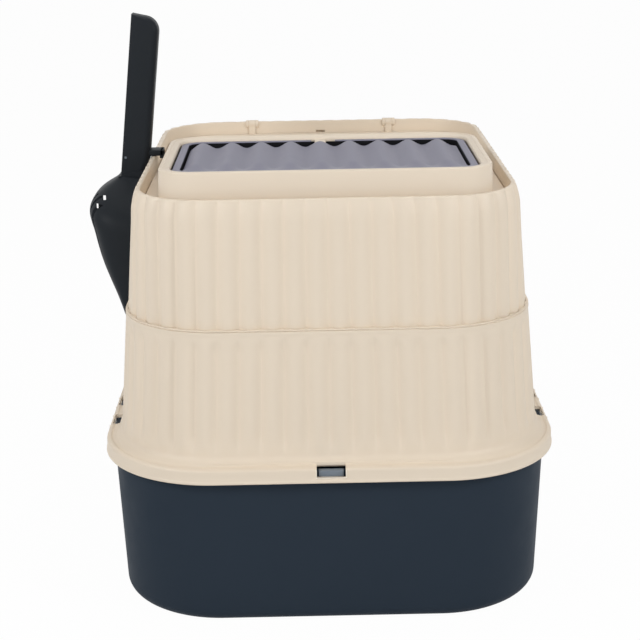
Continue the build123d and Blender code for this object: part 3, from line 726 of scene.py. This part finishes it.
def build_skylight_frame():
    wall = 1.4
    rows = [moat_edge(MOAT_FLOOR, 0.0), moat_edge(PANEL_TOP - 0.5, 0.0), moat_edge(PANEL_TOP - 0.15, 0.15),
            moat_edge(PANEL_TOP, 0.5), outer_edge(PANEL_TOP, 0.5), outer_edge(PANEL_TOP - 0.15, 0.15),
            outer_edge(PANEL_TOP - 0.5, 0.0), outer_edge(PANEL_TOP - 1.7, 0.0),
            outer_edge(PANEL_TOP - 2.0, 0.3), moat_edge(PANEL_TOP - 2.0, wall + 0.4),
            moat_edge(PANEL_TOP - 2.4, wall), moat_edge(MOAT_FLOOR, wall)]
    panel = make_object("skylight_frame", *skin(rows, loop=True))
    low_z, high_z = 370.0, 395.0
    tab_notch = box_tool((-11.0, -33.6, low_z), (11.0, -20.0, high_z), 0.3)
    corners = [box_tool((low_x, -184.0, low_z), (low_x + 20.0, -169.4, high_z), 0.3)
               for low_x in (-140.0, 120.0)]
    cut(panel, [tab_notch, *corners])
    place_piece(panel, "skylight", "smoky_plastic", smoky, "skylight_panel")


def field_top(x, y):
    """Waved top, eased flat towards its near edge."""
    share = np.clip((y - FIELD_NEAR) / WAVE_EASE, 0, 1)
    ease = share * share * (3 - 2 * share)
    waved = WAVE_MIDDLE + WAVE_RISE * np.cos(2 * math.pi * (x - WAVE_SHIFT) / WAVE_PITCH)
    return waved * ease + (PANEL_TOP - 0.2) * (1 - ease)


def corrugated_field():
    """Waved sheet with rounded far corners and a rolled far edge."""
    thickness, rolled_thickness, roll = 1.9, 0.8, 1.1
    flat_rows = 41
    flat_half = 104.0
    corner_reach = 16.6
    middle = np.linspace(-flat_half, flat_half, 311)
    corner = flat_half + corner_reach * np.sin(np.linspace(0, math.pi / 2, 20))[1:]
    xs = np.concatenate([-corner[::-1], middle, corner])
    over = np.maximum(np.abs(xs) - (FIELD_HALF - FIELD_RADIUS), 0.0)
    far = FIELD_FAR - (FIELD_RADIUS - np.sqrt(np.maximum(FIELD_RADIUS ** 2 - over ** 2, 0.0)))
    rows, under = [], []
    for share in np.linspace(0, 1, flat_rows):
        ys = FIELD_NEAR + share * (far - roll - FIELD_NEAR)
        rows.append(np.column_stack([xs, ys, field_top(xs, ys)]))
        under.append(rows[-1] - np.array([0, 0, thickness]))
    for turn in np.radians([25, 50, 75, 90]):
        ys = far - roll + roll * math.sin(turn)
        rows.append(np.column_stack([xs, ys, field_top(xs, ys) - roll * (1 - math.cos(turn))]))
        under.append(rows[-1] - np.array([0, 0, rolled_thickness]))
    count = len(xs)
    shift = len(rows) * count
    last = shift - count
    faces = strip_faces(len(rows), count, shift)
    for j in range(count - 1):
        faces.append((j, j + shift, j + 1 + shift, j + 1))
        faces.append((last + j, last + j + 1, last + j + 1 + shift, last + j + shift))
    return np.concatenate(rows + under), faces


def field_edge(inset, drop):
    """Outline under the field, at its foot or at a drop below the waved top."""
    points = oblong(380.0, FIELD_HALF - inset, -170.0, FIELD_FAR - inset, FIELD_RADIUS - inset)
    if drop:
        points[:, 2] = field_top(points[:, 0], points[:, 1]) - drop
    return points


def build_skylight_moat():
    """Wall under the field, the moat's floor and its lining, all in near-black painted shade."""
    floor_half = np.array([0, 0, 0.7])
    foot = field_edge(1.7, 0.0)
    wall = [field_edge(0.3, 0.0), field_edge(0.3, 1.2), field_edge(1.7, 1.2), foot]
    base = [moat_edge(MOAT_FLOOR, 1.0), foot - floor_half,
            foot + floor_half, moat_edge(MOAT_FLOOR + 1.4, 1.0)]
    lining = [moat_edge(z, grow) for z, grow in ((380.0, -0.25), (387.7, -0.25), (387.7, 0.3), (380.0, 0.3))]
    bands = [skin(rows, loop=True) for rows in (wall, base, lining)]
    moat = make_object("skylight_moat", *join_parts(*bands))
    place_piece(moat, "skylight", "smoky_plastic", painted_shade_smoky)


def build_skylight():
    build_skylight_frame()
    field = make_object("skylight_waves", *corrugated_field())
    place_piece(field, "skylight", "smoky_plastic", smoky)
    build_skylight_moat()


# Entry flap

def flap_ring(inset, y, count=160):
    shares = np.arange(count) / count
    grow = -FLAP_GAP - inset
    points = ring(0.0, DOOR_HALF + grow, DOOR_RADIUS + grow, shares, gain=DOOR_GAIN)
    return np.column_stack([points[:, 0], np.full(count, FLAP_Y + y), points[:, 1] + DOOR_MIDDLE_Z])


def build_flap():
    rows = [flap_ring(inset, y) for inset, y in
            ((0.6, 1.2), (0.15, 1.0), (0.0, 0.6), (0.0, -0.6), (0.15, -1.0), (0.6, -1.2))]
    bars = [disc_x(x - 7.0, x + 7.0, FLAP_Y, FLAP_AXIS_Z, 3.6) for x in (-77.5, 77.5)]
    flap = make_object("flap_panel", *join_parts(skin(rows, cap_start=True, cap_end=True), *bars))
    place_piece(flap, "flap", "smoky_plastic", smoky, "entry_flap")


# Scoop

def scoop_points(outward, upward, across):
    outward, upward, across = np.broadcast_arrays(outward, upward, across)
    return (np.array([SCOOP_X, SCOOP_Y, LIP_Z]) + np.outer(outward, OUT) + np.outer(upward, UP)
            + np.outer(across, np.array([0.0, 1.0, 0.0])))


def scoop_tool(verts, faces):
    """Cutter whose X, Y and Z are outward, across and upward."""
    return make_object("tool", scoop_points(verts[:, 0], verts[:, 2], verts[:, 1]), faces)


def softened(profile, drop, reach=4.0):
    """Value of a profile of (drop, value) points, averaged a little up and down."""
    drops, values = zip(*profile)
    steps = np.linspace(-reach, reach, 9)
    near = [min(max(drop + s, 0.0), BOWL_LENGTH) for s in steps]
    return float(np.mean(np.interp(near, drops, values)))


def bowl_section(drop, inset):
    """Open section from the near rim round the back to the far rim."""
    depth = softened(BOWL_BACK, drop) - inset
    half = softened(BOWL_SIDE, drop) - inset
    rim = BOWL_RIM_OFFSET + BOWL_RIM_LEAN * drop / BOWL_LENGTH
    angles = np.linspace(0, math.pi, 65)
    squareness = 0.6
    across = -half * np.sign(np.cos(angles)) * np.abs(np.cos(angles)) ** squareness
    outward = rim + (depth - rim) * np.abs(np.sin(angles)) ** squareness
    return outward, across


def bowl_mesh():
    drops = np.concatenate([np.linspace(0, 44, 23), np.linspace(48, 124, 20), np.linspace(125.5, 131, 5)])
    end_wall = 2.4
    outer, inner = [], []
    for drop in drops:
        outward, across = bowl_section(drop, 0.0)
        outer.append(scoop_points(outward, JOINT - drop, across))
        low = min(max(drop, end_wall), BOWL_LENGTH - end_wall)
        outward, across = bowl_section(low, BOWL_WALL)
        inner.append(scoop_points(outward, JOINT - low, across))
    count = len(outer[0])
    shift = len(drops) * count
    faces = strip_faces(len(drops), count, shift)
    for start in (0, shift - count):
        for j in range(count // 2):
            k = count - 1 - j
            for level in (start, start + shift):
                corners = [level + j, level + j + 1, level + k - 1, level + k]
                faces.append(tuple(dict.fromkeys(corners)))
        faces.append((start, start + count - 1, start + count - 1 + shift, start + shift))
    return np.concatenate(outer + inner), faces


def sieve_tools():
    """Slots through the bowl's back; the two outermost are shorter."""
    tools = []
    outermost = SIEVE_SLOTS // 2
    for index in range(-outermost, outermost + 1):
        across = index * SIEVE_PITCH
        top, foot = (-37.8, -143.8) if abs(index) < outermost else (-44.0, -138.0)
        box = rounded_box((15.0, across - SIEVE_HALF, foot), (80.0, across + SIEVE_HALF, top), 1.6)
        tools.append(scoop_tool(*box))
    return tools


def glint_tools():
    """Two small openings at the bowl's shoulder, along the camera's line of sight."""
    tools = []
    for near, far, width in (((-201.9, -50.0, 342.3), (-218.0, 70.0, 317.2), 2.6),
                             ((-208.8, -50.0, 334.8), (-225.5, 70.0, 309.0), 1.6)):
        height = 4.6
        verts, faces = rounded_box((-width / 2, 0.0, -height / 2), (width / 2, 1.0, height / 2), 0.3)
        share = verts[:, 1:2]
        through = np.array(near) * (1 - share) + np.array(far) * share
        tools.append(make_object("tool", through + verts * np.array([1.0, 0.0, 1.0]), faces))
    return tools


def build_bowl():
    bowl = make_object("scoop_sieve", *bowl_mesh())
    cut(bowl, sieve_tools() + glint_tools())
    place_piece(bowl, "scoop", "scoop_plastic", charcoal, "scoop_bowl")


def handle_outline(share):
    """Side outline of the handle; share 1 draws it in by its edge rounding, 0 is its full size."""
    round_edge, crisp_edge = 6.0 * share, 0.9 * share
    points = [(BOWL_RIM_OFFSET + round_edge, JOINT), (HANDLE_DEPTH - crisp_edge, JOINT),
              (HANDLE_DEPTH - crisp_edge, HANDLE_TOP - crisp_edge)]
    radius = HANDLE_TOP_RADIUS - round_edge
    points += arc(HANDLE_TOP_RADIUS, 116.0, radius, 94.4, 180, 10)
    points.append((round_edge, -2.0))
    return np.array(points)


def handle_mesh():
    rows = []
    turns = np.radians([0, 12, 25, 40, 55, 72, 90])
    for side, order in ((-1, turns), (1, turns[::-1])):
        for turn in order:
            outline = handle_outline(1 - math.sin(turn))
            across = side * (HANDLE_HALF - 6.0 * (1 - math.cos(turn)))
            rows.append(scoop_points(outline[:, 0], outline[:, 1], across))
    return skin(rows, cap_start=True, cap_end=True)


def leaning_prism(points, half_width, edge=0.4):
    """Prism over an outline in the leaning frame, with small rounded edges."""
    points = np.array(points, float)
    middle = points.mean(axis=0)
    size = np.abs(points - middle).max()
    rows = []
    for shrink, across in ((edge, -half_width), (0.0, edge - half_width), (0.0, half_width - edge),
                           (edge, half_width)):
        outline = middle + (points - middle) * (1 - shrink / size)
        rows.append(scoop_points(outline[:, 0], outline[:, 1], across))
    return skin(rows, cap_start=True, cap_end=True)


def bar_across(reach, edge):
    """Round bar across the handle at the hole's place."""
    verts, faces = disc_x(-reach, reach, 0.0, 0.0, HOLE_RADIUS, edge, 24)
    return scoop_points(HOLE_OUT + verts[:, 1], HOLE_UP + verts[:, 2], verts[:, 0]), faces


def build_handle():
    handle = make_object("scoop_grip", *handle_mesh())
    hollow = scoop_tool(*rounded_box((12.5, -9.0, 10.6), (34.0, 9.0, 116.0), 2.0))
    cut(handle, [hollow, make_object("tool", *bar_across(20.0, 0.1))])
    place_piece(handle, "scoop", "scoop_plastic", charcoal, "scoop_handle")
    plug = make_object("scoop_plug", *bar_across(11.4, 0.5))
    place_piece(plug, "scoop", "scoop_plastic", steel_blue)
    sleeve = [(4.4, -21.2), (27.4, -22.4), (28.2, -21.4), (10.0, -14.5), (4.6, -13.4)]
    neck = make_object("scoop_neck", *leaning_prism(sleeve, 12.7))
    place_piece(neck, "scoop", "scoop_plastic", charcoal)
    end_x, top = -151.2, LIP_Z + 5.8
    bar = rounded_box((-172.0, HOOK_NEAR, LIP_Z + 0.5), (end_x, HOOK_FAR, top), 0.8)
    tip = rounded_box((end_x - 3.4, HOOK_NEAR, LIP_Z - 2.0), (end_x, HOOK_FAR, top), 0.8)
    hook = make_object("scoop_hook", *join_parts(bar, tip))
    place_piece(hook, "scoop", "scoop_plastic", charcoal)


build_tray()
build_lower_hood()
for catch_place in CATCHES:
    build_catch(*catch_place)
build_upper_hood()
build_ears_and_lugs()
build_lid()
build_skylight()
build_flap()
build_bowl()
build_handle()

# The pins keep their CAD shape.
for name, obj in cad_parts.items():
    if "pin" in name:
        obj.data.materials.clear()
        obj.data.materials.append(wire)


# Floor, light and camera

def background_rays(nodes, links):
    """1 for rays that should see plain white: from the camera, in reflections and through clear parts."""
    path = nodes.new("ShaderNodeLightPath")
    value = path.outputs["Is Camera Ray"]
    for name in ("Is Glossy Ray", "Is Transmission Ray"):
        most = nodes.new("ShaderNodeMath")
        most.operation = "MAXIMUM"
        links.new(value, most.inputs[0])
        links.new(path.outputs[name], most.inputs[1])
        value = most.outputs[0]
    return value


def flat_white(name, colour, share):
    """Pale surface that shows as white to the camera and in reflections but keeps a soft shadow."""
    material = bpy.data.materials.new(name)
    material.use_nodes = True
    nodes, links = material.node_tree.nodes, material.node_tree.links
    shader = nodes["Principled BSDF"]
    shader.inputs["Base Color"].default_value = (*colour, 1)
    shader.inputs["Roughness"].default_value = 0.9
    shader.inputs["Specular IOR Level"].default_value = 0.1
    scale = nodes.new("ShaderNodeMath")
    scale.operation = "MULTIPLY"
    scale.inputs[1].default_value = share
    glow = nodes.new("ShaderNodeEmission")
    blend = nodes.new("ShaderNodeMixShader")
    links.new(background_rays(nodes, links), scale.inputs[0])
    links.new(scale.outputs[0], blend.inputs[0])
    links.new(shader.outputs[0], blend.inputs[1])
    links.new(glow.outputs[0], blend.inputs[2])
    links.new(blend.outputs[0], nodes["Material Output"].inputs["Surface"])
    return material


def add_floor(reach=30, z=-0.0005):
    """Floor in metres, a little under the tray."""
    mesh = bpy.data.meshes.new("floor")
    corners = [(-reach, -reach, z), (reach, -reach, z), (reach, reach, z), (-reach, reach, z)]
    mesh.from_pydata(corners, [], [(0, 1, 2, 3)])
    floor = bpy.data.objects.new("floor", mesh)
    bpy.context.scene.collection.objects.link(floor)
    mesh.materials.append(flat_white("floor_white", (0.86, 0.86, 0.86), 0.975))


def add_world():
    """White backdrop that lights the object only a little."""
    world = bpy.data.worlds.new("studio")
    bpy.context.scene.world = world
    world.use_nodes = True
    nodes, links = world.node_tree.nodes, world.node_tree.links
    background = nodes["Background"]
    background.inputs["Color"].default_value = (1, 1, 1, 1)
    level = nodes.new("ShaderNodeMapRange")
    level.inputs["To Min"].default_value = 0.24
    level.inputs["To Max"].default_value = 1.0
    links.new(background_rays(nodes, links), level.inputs["Value"])
    links.new(level.outputs["Result"], background.inputs["Strength"])


def softbox(name, place, aim, size, power):
    """Square area light, in metres and watts."""
    light = bpy.data.lights.new(name, "AREA")
    light.shape = "SQUARE"
    light.size = size
    light.energy = power
    obj = bpy.data.objects.new(name, light)
    bpy.context.scene.collection.objects.link(obj)
    obj.location = place
    direction = Vector(aim) - Vector(place)
    obj.rotation_euler = direction.to_track_quat("-Z", "Y").to_euler()


def add_camera():
    """Camera with the place and lens that took the photo."""
    ahead = np.array([0, math.cos(ELEVATION), -math.sin(ELEVATION)])
    right = np.array([1.0, 0, 0])
    up = np.array([0, math.sin(ELEVATION), math.cos(ELEVATION)])
    right_rolled = right * math.cos(ROLL) + up * math.sin(ROLL)
    up_rolled = -right * math.sin(ROLL) + up * math.cos(ROLL)
    shift_x = (CENTRE_U - PHOTO_PIXELS / 2) * DISTANCE / FOCAL_PIXELS
    shift_y = (CENTRE_V - PHOTO_PIXELS / 2) * DISTANCE / FOCAL_PIXELS
    spot = np.array([0, 0, AIM_Z]) - DISTANCE * ahead - shift_x * right_rolled + shift_y * up_rolled
    rows = [(*axes, spot[i] * MM) for i, axes in enumerate(zip(right_rolled, up_rolled, -ahead))]
    lens = bpy.data.cameras.new("camera")
    lens.sensor_width = SENSOR
    lens.lens = FOCAL_PIXELS / PHOTO_PIXELS * SENSOR
    camera = bpy.data.objects.new("camera", lens)
    bpy.context.scene.collection.objects.link(camera)
    camera.matrix_world = Matrix.Rotation(-YAW, 4, "Z") @ Matrix((*rows, (0, 0, 0, 1)))
    bpy.context.scene.camera = camera


add_floor()
add_world()
softbox("key", (-0.98, -0.78, 0.85), (0, -0.1, 0.27), size=0.4, power=6.4)
softbox("fill", (0.98, -0.78, 0.85), (0, -0.1, 0.27), size=0.4, power=6.2)
softbox("top", (0.0, 0.35, 1.9), (0, 0, 0.3), size=1.2, power=8.0)
softbox("front", (0.0, -1.35, 0.62), (0, 0, 0.3), size=0.7, power=2.2)
add_camera()
bpy.context.scene.view_settings.view_transform = "Standard"

bpy.context.view_layer.update()
